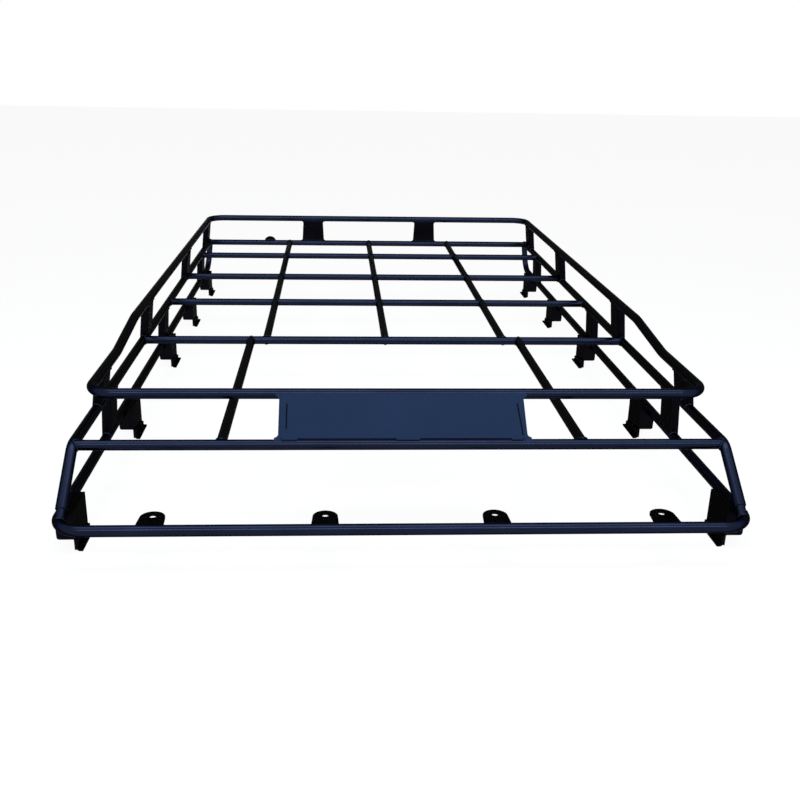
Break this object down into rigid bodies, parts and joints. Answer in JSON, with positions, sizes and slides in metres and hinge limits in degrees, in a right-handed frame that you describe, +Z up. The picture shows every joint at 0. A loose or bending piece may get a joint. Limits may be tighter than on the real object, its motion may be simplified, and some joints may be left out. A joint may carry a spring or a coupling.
{
  "type": "roof rack",
  "caption": "Welded steel tube roof rack with a flat barred deck, a raised rail round it, a forward lower rail and folded gutter feet.",
  "frame": {"origin": "centre of the rack's footprint, on the level that its feet stand on", "axes": "+X to the rack's right side, +Y to its rear, +Z up; the name plate and front legs face -Y"},
  "size_m": [1.387, 2.425, 0.2985],
  "materials": {
    "tube_paint": "gloss black paint on steel tube",
    "sheet_paint": "gloss black paint on folded steel sheet",
    "plate_paint": "smooth gloss black paint on flat steel plate"
  },
  "bodies": {
    "root": {"upper_front_bow": "tube_paint", "upper_rear_bow": "tube_paint", "left_upper_rail": "tube_paint", "right_upper_rail": "tube_paint", "upper_front_runs": "tube_paint", "upper_climbs": "tube_paint", "left_deck_rail": "tube_paint", "right_deck_rail": "tube_paint", "front_legs": "tube_paint", "front_deck_bar": "tube_paint", "rear_deck_bar": "tube_paint", "crossbar_1": "tube_paint", "crossbar_2": "tube_paint", "crossbar_3": "tube_paint", "crossbar_4": "tube_paint", "left_long_bar": "tube_paint", "centre_long_bar": "tube_paint", "right_long_bar": "tube_paint", "left_front_long_bar": "tube_paint", "right_front_long_bar": "tube_paint", "lower_front_bow": "tube_paint", "left_lower_rail": "tube_paint", "right_lower_rail": "tube_paint", "leg_spigots": "tube_paint", "name_plate": "plate_paint", "rear_plates": "sheet_paint", "upper_uprights_1": "sheet_paint", "upper_uprights_2": "sheet_paint", "upper_uprights_3": "sheet_paint", "upper_uprights_4": "sheet_paint", "lower_uprights_1": "sheet_paint", "lower_uprights_2": "sheet_paint", "lower_uprights_3": "sheet_paint", "left_foot_1": "sheet_paint", "left_foot_2": "sheet_paint", "left_foot_3": "sheet_paint", "left_foot_4": "sheet_paint", "left_foot_5": "sheet_paint", "right_foot_1": "sheet_paint", "right_foot_2": "sheet_paint", "right_foot_3": "sheet_paint", "right_foot_4": "sheet_paint", "right_foot_5": "sheet_paint", "front_tabs": "sheet_paint", "rear_tab": "sheet_paint"}
  },
  "joints": []
}
